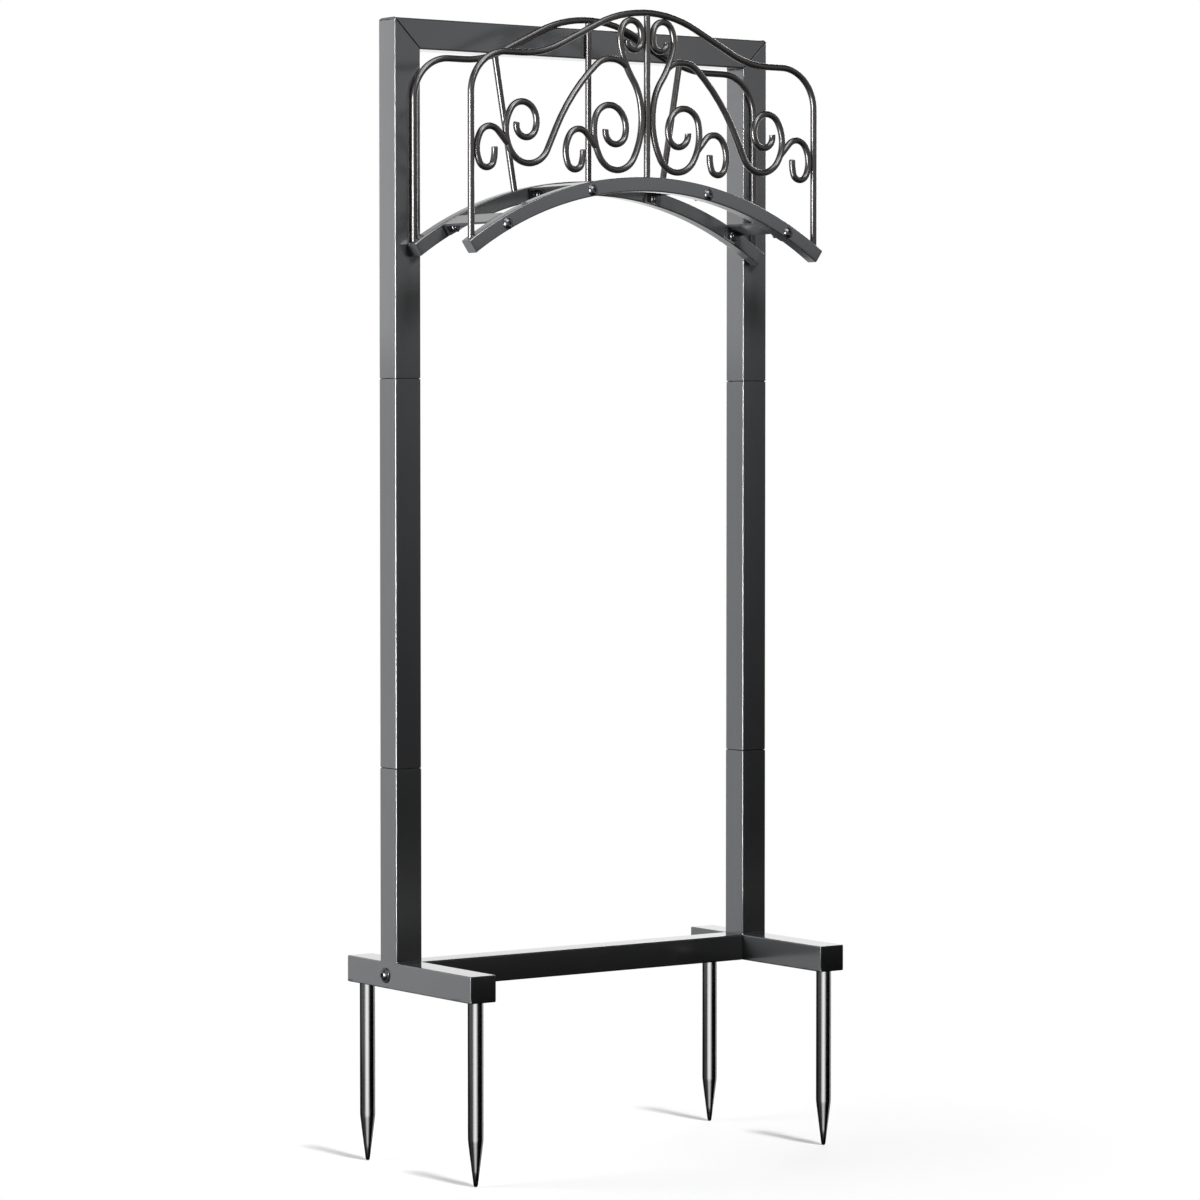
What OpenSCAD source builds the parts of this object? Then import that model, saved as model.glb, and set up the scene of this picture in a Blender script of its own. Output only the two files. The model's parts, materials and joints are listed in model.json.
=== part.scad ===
// Garden stand: a plug-together frame of square steel tube on four ground
// spikes, with a curved saddle held between two panels of bent rod.
// Origin: underside of the feet, midway between the posts. X runs along the
// cross bar, the front is at -Y and +Z is up.

/* [Posts] */
// Distance between the centre lines of the two posts
post_spacing = 358; // [352:1:400]
// Outside width of the square posts and the top rail
post_w = 25; // [24:0.5:28]
// Wall of the posts, rail, feet and cross bar
tube_wall = 1.5; // [1.2:0.1:2]
// Outside corner radius of these tubes
tube_corner = 1.5; // [1:0.1:2]
// Length of each lower post
lower_post_l = 160; // [130:1:200]
// Length of each middle post
middle_post_l = 320; // [250:1:400]
// Length of each upper post, up to the top of the rail
upper_post_l = 294; // [270:1:340]
// Length of the sleeve inside each post joint
sleeve_l = 80; // [50:1:110]
// Wall of the joint sleeves
sleeve_wall = 1.2; // [1:0.1:1.6]
// Play between a sleeve and the posts, each side
sleeve_play = 0.2; // [0.1:0.05:0.3]

/* [Base] */
// Height of the feet and of the cross bar
foot_h = 22; // [20:0.5:26]
// Reach of each foot in front of the posts' centre line
foot_front = 121; // [110:1:150]
// Reach of each foot behind the posts' centre line
foot_rear = 63; // [50:1:90]
// Thickness of the plates that close the tube ends
end_plate_t = 1.5; // [1:0.1:2]
// Depth of the cross bar, front to back
cross_bar_d = 25; // [20:0.5:25]
// Distance of the cross bar's bolts behind the posts' centre line
cross_bolt_y = 4; // [0:0.5:5]
// Length of the threaded block in each end of the cross bar
block_l = 20; // [16:1:30]
// Play between a block and the cross bar, each side
block_play = 0.1; // [0.05:0.05:0.2]

/* [Ground spikes] */
// Diameter of a spike
spike_d = 12.7; // [10:0.1:14]
// Length of a spike below its foot
spike_l = 150; // [120:1:200]
// Length of the tapered end
spike_taper_l = 38; // [25:1:60]
// Diameter left at the tip
spike_tip_d = 2.4; // [1:0.1:4]
// Distance of a spike's axis from the end of its foot
spike_inset = 11.5; // [11:0.5:20]
// Diameter of the threaded stud on top of a spike
stud_d = 10; // [8:0.5:10]
// Width across the flats of the nut that takes the stud
stud_nut_af = 16; // [14:0.5:17]
// Height of that nut
stud_nut_h = 8; // [6:0.5:10]

/* [Saddle] */
// Height of the rail's top above the top of the saddle's arches
saddle_drop = 128; // [115:1:150]
// Outer radius of the two arches
arch_r = 317; // [300:1:400]
// Radial height of an arch bar
arch_h = 12; // [11:0.5:14]
// Depth of an arch bar, front to back
arch_d = 12; // [10:0.5:16]
// Wall of an arch bar
arch_wall = 1.2; // [1:0.1:1.6]
// Outside corner radius of an arch bar
arch_corner = 1.2; // [0.8:0.1:1.5]
// Length by which an arch's corner passes the centre line of a post
arch_over = 1.5; // [0:0.5:8]
// Clear distance between the front arch and the rear arch
saddle_w = 68; // [50:1:90]
// Angle of the inner straps from the middle of the arch
inner_strap_angle = 11; // [8:0.5:15]
// Angle of the outer straps from the middle of the arch
outer_strap_angle = 27.5; // [22:0.5:29]
// Width of a strap
strap_w = 16; // [12:0.5:22]
// Thickness of a strap
strap_t = 2; // [1.5:0.1:2.5]
// Inside radius of a strap's two bends
strap_bend_r = 0.4; // [0.2:0.1:0.4]
// Depth of a strap's top below the top of the arches
strap_sink = 0.5; // [0.2:0.1:1]
// Length of the bent-down tab at each end of a strap
tab_h = 11; // [10:0.5:12]

/* [Bolts] */
// Diameter of the bolts through the arches
arch_bolt_d = 5; // [4:0.5:5]
// Distance of these bolts below the top of the arch
arch_bolt_drop = 7; // [6.9:0.1:7.2]
// Head diameter of these bolts
arch_head_d = 9.5; // [8:0.1:9.8]
// Head height of these bolts
arch_head_h = 2.75; // [2:0.05:3]
// Width across the flats of their nuts
arch_nut_af = 8; // [7:0.5:8]
// Height of their nuts
arch_nut_h = 4; // [3:0.5:5]
// Diameter of the cross bar's bolts
cross_bolt_d = 6; // [5:0.5:8]
// Head diameter of the cross bar's bolts
cross_head_d = 10.5; // [10:0.1:12]
// Head height of the cross bar's bolts
cross_head_h = 3.3; // [2.5:0.1:4]
// Diameter of their washers
washer_d = 12.5; // [12.2:0.1:16]
// Thickness of their washers
washer_t = 1.2; // [1:0.1:2]
// Play around every bolt, stud and thread
bolt_play = 0.1; // [0.05:0.05:0.3]

/* [Panels] */
// Diameter of the rod that the panels are bent from
rod_d = 5.5; // [5:0.1:6]
// Distance of a hoop's upright inside the post's centre line
hoop_inset = 4; // [3:0.5:6]
// Bend radius of a hoop's shoulders, on the rod's centre line
hoop_corner_r = 34; // [26:1:38]
// Bend radius of the hollow beside a hoop's shoulder
hoop_valley_r = 85; // [75:1:90]
// Bend radius of a hoop's crown
hoop_crown_r = 115; // [105:1:120]
// Slope between hollow and crown
hoop_slope = 26; // [24:0.5:27]
// Height of the crown above the shoulders
hoop_rise = 38.5; // [37:0.5:42]
// Height above the arch at which a main scroll touches the centre rod
scroll_touch_z = 47.5; // [47:0.5:60]
// Distance of a rear brace's top from the low point of the hollow
brace_top_in = 30; // [20:1:34]
// Distance of a rear brace's foot from the middle
brace_foot_x = 75; // [60:1:90]
// Gap left by the weld where two rods meet
weld_gap = 0.05; // [0.02:0.01:0.1]

/* [Hidden] */
$fn = 48;
eps = 1;

steel = [0.24, 0.25, 0.25];
rod_steel = [0.29, 0.28, 0.28];
bright = [0.10, 0.10, 0.11];
bolt_steel = [0.34, 0.34, 0.35];

// Degrees by which a cutter runs past the end of the arc it cuts
cut_past = 4;
// Thread that shows past a nut
thread_past = 1;

// Frame
post_x = post_spacing / 2;
post_face_y = -post_w / 2;
lower_joint_z = foot_h + lower_post_l;
upper_joint_z = lower_joint_z + middle_post_l;
rail_top_z = upper_joint_z + upper_post_l;
post_inner_x = post_x - post_w / 2;
post_outer_x = post_x + post_w / 2;
sleeve_w = post_w - 2 * tube_wall - 2 * sleeve_play;
sleeve_corner = 1;
corner_facets = 3;

// Base
foot_l = foot_front + foot_rear;
block_w = cross_bar_d - 2 * tube_wall - 2 * block_play;
block_h = foot_h - 2 * tube_wall - 2 * block_play;
block_margin = 3;
cross_bolt_l = washer_t + post_w + block_l - block_margin;
socket_share = 0.42;
socket_depth_share = 0.6;
spike_front_y = -foot_front + spike_inset;
spike_rear_y = foot_rear - spike_inset;
stud_l = tube_wall + stud_nut_h + thread_past;

// Saddle
arch_top_z = rail_top_z - saddle_drop;
arch_z = arch_top_z - arch_r;
arch_half_angle = asin((post_x + arch_over) / arch_r);
rear_arch_y = post_face_y;
rear_inner_y = rear_arch_y - arch_d;
front_inner_y = rear_inner_y - saddle_w;
front_arch_y = front_inner_y - arch_d;
bolt_r = arch_r - arch_bolt_drop;
strap_top_r = arch_r - strap_sink;
strap_bend_out = strap_bend_r + strap_t;
plate_angle = end_plate_t / arch_r * 180 / PI;
arch_bolt_l = arch_d + strap_t + arch_nut_h + thread_past;
strap_angles = [-outer_strap_angle, -inner_strap_angle, inner_strap_angle, outer_strap_angle];

// Panels, drawn in a plane with x to the right and y up
rod_r = rod_d / 2;
touch = rod_d + weld_gap;
bead = 0.03;
front_rod_y = (front_arch_y + front_inner_y) / 2;
rear_rod_y = post_face_y - rod_r;
hoop_x = post_x - hoop_inset;

// Each bend is [radius on the centre line, angle], left turns positive, and
// each straight is [length, 0].
main_up_bends = [[71, 13.4], [44, 22], [78.6, -22], [24, -39], [10, -136], [20, -36], [7, -170]];
main_down_bends = [[68.5, -28], [19.5, -120], [42.5, -45], [15, -121], [20, -65], [10, -134],
    [11, -34]];
curl_bends = [[14, 0], [11, 107], [25, 56], [7.5, 107], [5, 28], [31, 24]];
top_bend = 4;
curl_flank = 2;

// A pose is [x, y, heading], and each function below follows the bends from it
function turn_side(b) = b[1] > 0 ? 1 : -1;
function centre(p, b) = [
    p[0] - turn_side(b) * b[0] * sin(p[2]),
    p[1] + turn_side(b) * b[0] * cos(p[2])
];
function after(p, b) =
    b[1] == 0
    ? [p[0] + b[0] * cos(p[2]), p[1] + b[0] * sin(p[2]), p[2]]
    : let (c = centre(p, b), h = p[2] + b[1], s = turn_side(b))
        [c[0] + s * b[0] * sin(h), c[1] - s * b[0] * cos(h), h];
function walk(p, bends, count, i = 0) =
    i >= count ? p : walk(after(p, bends[i]), bends, count, i + 1);

// Main scroll: it touches the centre rod with its large loop and its top spiral
main_up_pose = [-touch, arch_top_z + scroll_touch_z, 90];
main_down_pose = [-touch, arch_top_z + scroll_touch_z, -90];
top_centre = centre(walk(main_up_pose, main_up_bends, top_bend), main_up_bends[top_bend]);
top_to_crown = hoop_crown_r - main_up_bends[top_bend][0] - touch;

// Hoop: its crown rests on the top spirals
crown_centre_z = top_centre[1] - sqrt(pow(top_to_crown, 2) - pow(top_centre[0], 2));
crown_z = crown_centre_z + hoop_crown_r;
shoulder_z = crown_z - hoop_rise;
hoop_bend_r = hoop_crown_r + hoop_valley_r;
hoop_ramp = (hoop_rise - hoop_bend_r * (1 - cos(hoop_slope))) / sin(hoop_slope);
hoop_flat = hoop_x - hoop_corner_r - hoop_bend_r * sin(hoop_slope) - hoop_ramp * cos(hoop_slope);
hoop_foot_z = arch_z + sqrt(pow(arch_r, 2) - pow(hoop_x, 2)) - arch_h / 2;
hoop_upright = shoulder_z - hoop_corner_r - hoop_foot_z;
hoop_bends = [
    [hoop_upright, 0], [hoop_corner_r, -90], [hoop_flat, 0], [hoop_valley_r, hoop_slope],
    [hoop_ramp, 0], [hoop_crown_r, -2 * hoop_slope], [hoop_ramp, 0],
    [hoop_valley_r, hoop_slope], [hoop_flat, 0], [hoop_corner_r, -90], [hoop_upright, 0]
];
valley_x = hoop_x - hoop_corner_r - hoop_flat;

// A branch is [bend, part, lean]: it starts on the centre line of another rod,
// part of the way along that bend, and leans away from it
side_branch = [2, 9, 20];
outer_branch = [4, 12, 22];
inner_branch = [2, 13, 22];
function branch_pose(p, bends, branch) =
    let (
        k = branch[0],
        q = after(walk(p, bends, k), [bends[k][0], -branch[1]])
    )
    [q[0], q[1], q[2] + branch[2]];

// Side scroll: it springs from the main scroll, and its flat top is as long as
// it takes for the outer curl to reach the hoop's upright
side_start = branch_pose(main_up_pose, main_up_bends, side_branch);
side_rise_bend = [21, 43];
side_fall_bends = [[21, 42], [170, 23], [19, 0], [20.5, -121], [31.5, -65], [13.5, -118],
    [17.5, -57], [9.5, -167]];
side_fall_start = after(side_start, side_rise_bend);
curl_at_no_flat = branch_pose(side_fall_start, side_fall_bends, outer_branch);
curl_reach_x = centre(walk(curl_at_no_flat, curl_bends, curl_flank), curl_bends[curl_flank])[0]
    - curl_bends[curl_flank][0];
side_flat = curl_reach_x + hoop_x - touch;
side_fall_pose = after(side_fall_start, [side_flat, 0]);
side_bends = concat([side_rise_bend, [side_flat, 0]], side_fall_bends);
outer_curl_pose = [curl_at_no_flat[0] - side_flat, curl_at_no_flat[1], curl_at_no_flat[2]];
inner_curl_pose = branch_pose(main_down_pose, main_down_bends, inner_branch);

// Rear braces lean inward from the hoop's hollows down to the arch
brace_top_x = valley_x - brace_top_in;
brace_top_z = shoulder_z + hoop_valley_r - sqrt(pow(hoop_valley_r, 2) - pow(brace_top_in, 2));
brace_foot_z = arch_z + sqrt(pow(arch_r, 2) - pow(brace_foot_x, 2)) - arch_h / 2;
brace_lean = atan2(brace_top_x - brace_foot_x, brace_top_z - brace_foot_z);
brace_l = norm([brace_top_x - brace_foot_x, brace_top_z - brace_foot_z]);

// Outline of a square tube with its corners rounded in facets
function tube_outline(w, h, r) = [
    for (corner = [0:3], step = [0:corner_facets])
        let (
            sx = corner == 0 || corner == 3 ? 1 : -1,
            sy = corner < 2 ? 1 : -1,
            a = corner * 90 + step * 90 / corner_facets
        )
        [sx * (w / 2 - r) + r * cos(a), sy * (h / 2 - r) + r * sin(a)]
];

// Square tube along +Z
module tube(w, h, l, wall, corner) {
    difference() {
        linear_extrude(l) polygon(tube_outline(w, h, corner));
        translate([0, 0, -eps]) linear_extrude(l + 2 * eps)
            square([w - 2 * wall, h - 2 * wall], center = true);
    }
}

module at_left_right() {
    for (side = [-1, 1]) translate([side * post_x, 0, 0]) children();
}

// Hexagonal bar along +Z, given across its flats
module hex_bar(af, h) {
    cylinder(r = af / 2 / cos(30), h = h, $fn = 6);
}

module nut(af, h, bore_d) {
    difference() {
        hex_bar(af, h);
        translate([0, 0, -eps]) cylinder(d = bore_d, h = h + 2 * eps);
    }
}

// Button-head bolt: the shank runs along +Z and the head lies below z = 0
module button_bolt(d, l, head_d, head_h) {
    dome_r = (pow(head_h, 2) + pow(head_d / 2, 2)) / (2 * head_h);
    cylinder(d = d, h = l);
    difference() {
        translate([0, 0, dome_r - head_h]) sphere(dome_r);
        translate([-dome_r - eps, -dome_r - eps, 0]) cube(2 * dome_r + 2 * eps);
        translate([0, 0, -head_h - eps])
            hex_bar(head_d * socket_share, head_h * socket_depth_share + eps);
    }
}

// Posts and rail

// Outline that a mitre leaves of the head frame, seen from the front
module head_slab(points) {
    translate([0, post_w, 0]) rotate([90, 0, 0]) linear_extrude(2 * post_w) polygon(points);
}

module top_rail() color(steel) {
    intersection() {
        translate([-post_outer_x, 0, rail_top_z - post_w / 2]) rotate([0, 90, 0])
            tube(post_w, post_w, 2 * post_outer_x, tube_wall, tube_corner);
        head_slab([
            [-post_outer_x, rail_top_z], [-post_inner_x, rail_top_z - post_w],
            [post_inner_x, rail_top_z - post_w], [post_outer_x, rail_top_z]
        ]);
    }
}

module upper_post(side) color(steel) {
    intersection() {
        translate([side * post_x, 0, upper_joint_z])
            tube(post_w, post_w, upper_post_l, tube_wall, tube_corner);
        head_slab([
            [side * post_inner_x, upper_joint_z], [side * post_outer_x, upper_joint_z],
            [side * post_outer_x, rail_top_z], [side * post_inner_x, rail_top_z - post_w]
        ]);
    }
}

module middle_post(side) color(steel) {
    translate([side * post_x, 0, lower_joint_z])
        tube(post_w, post_w, middle_post_l, tube_wall, tube_corner);
}

// The lower post is cut to the rounded top of the foot that it is welded to
module lower_post(side) color(steel) {
    difference() {
        translate([side * post_x, 0, foot_h - tube_corner])
            tube(post_w, post_w, lower_post_l + tube_corner, tube_wall, tube_corner);
        foot_core(side);
    }
}

module sleeve(side, joint_z) color(steel) {
    translate([side * post_x, 0, joint_z - sleeve_l / 2])
        tube(sleeve_w, sleeve_w, sleeve_l, sleeve_wall, sleeve_corner);
}

// Base

module along_foot(side) {
    translate([side * post_x, foot_rear, foot_h / 2]) rotate([90, 0, 0]) children();
}

module foot_core(side) {
    along_foot(side) linear_extrude(foot_l) polygon(tube_outline(post_w, foot_h, tube_corner));
}

module foot(side) color(steel) {
    difference() {
        along_foot(side) tube(post_w, foot_h, foot_l, tube_wall, tube_corner);
        for (y = [spike_front_y, spike_rear_y]) translate([side * post_x, y, -eps])
            cylinder(d = stud_d + 2 * bolt_play, h = foot_h / 2);
        translate([side * post_x - post_w, cross_bolt_y, foot_h / 2]) rotate([0, 90, 0])
            cylinder(d = cross_bolt_d + 2 * bolt_play, h = 2 * post_w);
    }
}

module foot_end_plates(side) color(steel) {
    for (y = [-foot_front, foot_rear - end_plate_t])
        translate([side * post_x - post_w / 2 + tube_wall, y, tube_wall])
            cube([post_w - 2 * tube_wall, end_plate_t, foot_h - 2 * tube_wall]);
}

module cross_bar() color(steel) {
    translate([-post_inner_x, 0, foot_h / 2]) rotate([0, 90, 0])
        tube(foot_h, cross_bar_d, 2 * post_inner_x, tube_wall, tube_corner);
}

module cross_bar_blocks() color(bolt_steel) {
    for (side = [-1, 1]) difference() {
        translate([side * (post_inner_x - block_l / 2), 0, foot_h / 2])
            cube([block_l, block_w, block_h], center = true);
        translate([side * post_inner_x, cross_bolt_y, foot_h / 2]) rotate([0, 90, 0])
            cylinder(d = cross_bolt_d + 2 * bolt_play, h = 2 * block_l + 2 * eps, center = true);
    }
}

// Right-hand bolt axis, pointing inward; the left one is its mirror image
module at_cross_bolts() {
    for (side = [0, 1]) mirror([side, 0, 0])
        translate([post_outer_x, cross_bolt_y, foot_h / 2]) rotate([0, -90, 0]) children();
}

module cross_bar_bolts() color(bolt_steel) {
    at_cross_bolts() translate([0, 0, -washer_t])
        button_bolt(cross_bolt_d, cross_bolt_l, cross_head_d, cross_head_h);
}

module cross_bar_washers() color(bolt_steel) {
    at_cross_bolts() difference() {
        translate([0, 0, -washer_t]) cylinder(d = washer_d, h = washer_t);
        translate([0, 0, -washer_t - eps])
            cylinder(d = cross_bolt_d + 2 * bolt_play, h = washer_t + 2 * eps);
    }
}

// Spikes

module spike(side, y) color(bright) {
    straight_l = spike_l - spike_taper_l;
    translate([side * post_x, y, 0]) {
        cylinder(d = stud_d, h = stud_l);
        translate([0, 0, -straight_l]) cylinder(d = spike_d, h = straight_l);
        translate([0, 0, -spike_l]) cylinder(d1 = spike_tip_d, d2 = spike_d, h = spike_taper_l);
    }
}

module spike_nuts() color(bolt_steel) {
    at_left_right() for (y = [spike_front_y, spike_rear_y]) translate([0, y, tube_wall])
        nut(stud_nut_af, stud_nut_h, stud_d + 2 * bolt_play);
}

// Saddle

// Part of a ring about the arches' common axis, from angle a0 to a1 measured
// from the top, whose rear face is at back_y
module ring_part(back_y, r0, r1, depth, a0, a1) {
    translate([0, back_y, arch_z]) rotate([90, 0, 0]) rotate([0, 0, 90 - a1])
        rotate_extrude(angle = a1 - a0, $fn = 180) translate([r0, 0]) square([r1 - r0, depth]);
}

// Solid arch with longer ends, used to cut rods that stand on the arch
module arch_cutter(back_y) {
    ring_part(back_y, arch_r - arch_h, arch_r, arch_d, -arch_half_angle - cut_past,
        arch_half_angle + cut_past);
}

// Bar of rounded square section bent along the arch
module arch_bar(back_y) {
    translate([0, back_y, arch_z]) rotate([90, 0, 0]) rotate([0, 0, 90 - arch_half_angle])
        rotate_extrude(angle = 2 * arch_half_angle, $fn = 180)
            translate([arch_r - arch_h / 2, arch_d / 2])
                polygon(tube_outline(arch_h, arch_d, arch_corner));
}

module arch(back_y) color(steel) {
    difference() {
        arch_bar(back_y);
        ring_part(back_y - arch_wall, arch_r - arch_h + arch_wall, arch_r - arch_wall,
            arch_d - 2 * arch_wall, -arch_half_angle - cut_past, arch_half_angle + cut_past);
        for (a = strap_angles) at_bolt(a) translate([0, 0, back_y - arch_d - eps])
            cylinder(d = arch_bolt_d + 2 * bolt_play, h = arch_d + 2 * eps);
    }
}

module arch_end_plates() color(steel) {
    for (back_y = [rear_arch_y, front_inner_y], side = [-1, 1])
        ring_part(back_y - arch_wall, arch_r - arch_h + arch_wall, arch_r - arch_wall,
            arch_d - 2 * arch_wall,
            side > 0 ? arch_half_angle - plate_angle : -arch_half_angle,
            side > 0 ? arch_half_angle : -arch_half_angle + plate_angle);
}

// Frame on a bolt's axis: its z runs along +Y and its y points to the arches' axis
module at_bolt(a) {
    translate([0, 0, arch_z]) rotate([0, a, 0]) translate([0, 0, bolt_r]) rotate([-90, 0, 0])
        children();
}

// Half of a strap in its own frame, from the middle of the saddle to a bent-down
// tab whose outer face is at y = half the saddle's width
module half_strap() {
    bend_y = saddle_w / 2 - strap_bend_out;
    bend_z = strap_top_r - strap_bend_out;
    translate([-strap_w / 2, 0, strap_top_r - strap_t]) cube([strap_w, bend_y, strap_t]);
    translate([-strap_w / 2, bend_y, bend_z]) rotate([90, 0, 90])
        rotate_extrude(angle = 90) translate([strap_bend_r, 0]) square([strap_t, strap_w]);
    translate([-strap_w / 2, saddle_w / 2 - strap_t, strap_top_r - tab_h])
        cube([strap_w, strap_t, tab_h - strap_bend_out]);
}

// Strap with a tab at each end, which lies against the arch
module strap(a) color(steel) {
    difference() {
        translate([0, (front_inner_y + rear_inner_y) / 2, arch_z]) rotate([0, a, 0]) {
            half_strap();
            mirror([0, 1, 0]) half_strap();
        }
        at_bolt(a) translate([0, 0, front_inner_y - eps])
            cylinder(d = arch_bolt_d + 2 * bolt_play, h = saddle_w + 2 * eps);
    }
}

// Places its child at each bolt, pointing into the saddle from both arches
module at_arch_bolts() {
    for (a = strap_angles) at_bolt(a) {
        translate([0, 0, front_arch_y]) children();
        translate([0, 0, rear_arch_y]) mirror([0, 0, 1]) children();
    }
}

module arch_bolts() color(bolt_steel) {
    at_arch_bolts() button_bolt(arch_bolt_d, arch_bolt_l, arch_head_d, arch_head_h);
}

module arch_nuts() color(bolt_steel) {
    at_arch_bolts() translate([0, 0, arch_d + strap_t])
        nut(arch_nut_af, arch_nut_h, arch_bolt_d + 2 * bolt_play);
}

// Bent rods

// One bend or straight, starting at the origin and heading along +Y
module bend(b, r) {
    if (b[1] > 0) translate([-b[0], 0, 0]) rotate_extrude(angle = b[1])
        translate([b[0], 0]) circle(r);
    if (b[1] < 0) translate([b[0], 0, 0]) rotate([0, 0, 180 + b[1]])
        rotate_extrude(angle = -b[1]) translate([b[0], 0]) circle(r);
    if (b[1] == 0) rotate([-90, 0, 0]) cylinder(r = r, h = b[0]);
}

// Rod through a list of bends, each begun where the one before it ends
module rod(bends, r = rod_r, i = 0) {
    if (i < len(bends)) {
        p = after([0, 0, 90], bends[i]);
        bend(bends[i], r);
        translate([p[0], p[1], 0]) rotate([0, 0, p[2] - 90]) {
            if (i < len(bends) - 1) sphere(r + bead);
            rod(bends, r, i + 1);
        }
    }
}

// Stands a drawing in a panel's plane, at depth y
module in_panel(y) {
    translate([0, y, 0]) rotate([90, 0, 0]) children();
}

module at_pose(p) {
    translate([p[0], p[1], 0]) rotate([0, 0, p[2] - 90]) children();
}

module hoop(y, arch_back_y) color(rod_steel) {
    difference() {
        in_panel(y) at_pose([-hoop_x, hoop_foot_z, 90]) rod(hoop_bends);
        arch_cutter(arch_back_y);
    }
}

// Straight rod from the arch's top up to the underside of the hoop's crown
module centre_rod(y, arch_back_y) color(rod_steel) {
    foot_z = arch_top_z - arch_h / 2;
    difference() {
        translate([0, y, foot_z]) cylinder(r = rod_r, h = crown_z - foot_z);
        arch_cutter(arch_back_y);
        in_panel(y) translate([0, crown_centre_z, 0]) rotate([0, 0, 90 - cut_past])
            rotate_extrude(angle = 2 * cut_past) translate([hoop_crown_r, 0])
                circle(rod_r + weld_gap);
    }
}

module main_scroll_rod(r = rod_r) {
    at_pose(main_up_pose) rod(main_up_bends, r);
    at_pose(main_down_pose) rod(main_down_bends, r);
    translate([main_up_pose[0], main_up_pose[1], 0]) sphere(r + bead);
}

module main_scroll() color(rod_steel) {
    in_panel(front_rod_y) main_scroll_rod();
}

// Stretch of a rod, grown by the weld's gap, that the start of a branch is cut to
module branch_cut(p, bends, branch) {
    k = branch[0];
    at_pose(walk(p, bends, k - 1)) rod([bends[k - 1], bends[k]], rod_r + weld_gap);
}

module side_scroll() color(rod_steel) {
    in_panel(front_rod_y) difference() {
        at_pose(side_start) rod(side_bends);
        branch_cut(main_up_pose, main_up_bends, side_branch);
    }
}

module outer_curl() color(rod_steel) {
    in_panel(front_rod_y) difference() {
        at_pose(outer_curl_pose) rod(curl_bends);
        branch_cut(side_fall_pose, side_fall_bends, outer_branch);
    }
}

module inner_curl() color(rod_steel) {
    in_panel(front_rod_y) difference() {
        at_pose(inner_curl_pose) rod(curl_bends);
        branch_cut(main_down_pose, main_down_bends, inner_branch);
    }
}

// Brace with its top cut round the hoop and its foot cut to the arch
module rear_brace() color(rod_steel) {
    difference() {
        translate([-brace_foot_x, rear_rod_y, brace_foot_z]) rotate([0, -brace_lean, 0])
            cylinder(r = rod_r, h = brace_l);
        arch_cutter(rear_arch_y);
        in_panel(rear_rod_y) translate([-valley_x, shoulder_z + hoop_valley_r, 0])
            rotate([0, 0, -90]) rotate_extrude(angle = hoop_slope + cut_past)
                translate([hoop_valley_r, 0]) circle(rod_r + weld_gap);
    }
}

module right_side() {
    mirror([1, 0, 0]) children();
}

top_rail();
upper_post(-1);  // left_upper_post
upper_post(1);  // right_upper_post
middle_post(-1);  // left_middle_post
middle_post(1);  // right_middle_post
lower_post(-1);  // left_lower_post
lower_post(1);  // right_lower_post
sleeve(-1, upper_joint_z);  // left_upper_sleeve
sleeve(1, upper_joint_z);  // right_upper_sleeve
sleeve(-1, lower_joint_z);  // left_lower_sleeve
sleeve(1, lower_joint_z);  // right_lower_sleeve
foot(-1);  // left_foot
foot(1);  // right_foot
foot_end_plates(-1);  // left_foot_end_plates
foot_end_plates(1);  // right_foot_end_plates
cross_bar();
cross_bar_blocks();
cross_bar_bolts();
cross_bar_washers();
spike(-1, spike_front_y);  // front_left_spike
spike(1, spike_front_y);  // front_right_spike
spike(-1, spike_rear_y);  // rear_left_spike
spike(1, spike_rear_y);  // rear_right_spike
spike_nuts();
arch(front_inner_y);  // front_arch
arch(rear_arch_y);  // rear_arch
arch_end_plates();
strap(-outer_strap_angle);  // left_outer_strap
strap(-inner_strap_angle);  // left_inner_strap
strap(inner_strap_angle);  // right_inner_strap
strap(outer_strap_angle);  // right_outer_strap
arch_bolts();
arch_nuts();
hoop(front_rod_y, front_inner_y);  // front_hoop
centre_rod(front_rod_y, front_inner_y);  // front_centre_rod
main_scroll();  // left_main_scroll
right_side() main_scroll();  // right_main_scroll
side_scroll();  // left_side_scroll
right_side() side_scroll();  // right_side_scroll
outer_curl();  // left_outer_curl
right_side() outer_curl();  // right_outer_curl
inner_curl();  // left_inner_curl
right_side() inner_curl();  // right_inner_curl
hoop(rear_rod_y, rear_arch_y);  // rear_hoop
centre_rod(rear_rod_y, rear_arch_y);  // rear_centre_rod
rear_brace();  // left_rear_brace
right_side() rear_brace();  // right_rear_brace
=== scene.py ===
import json
import math

import bmesh
import bpy
from mathutils import Matrix, Vector

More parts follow.
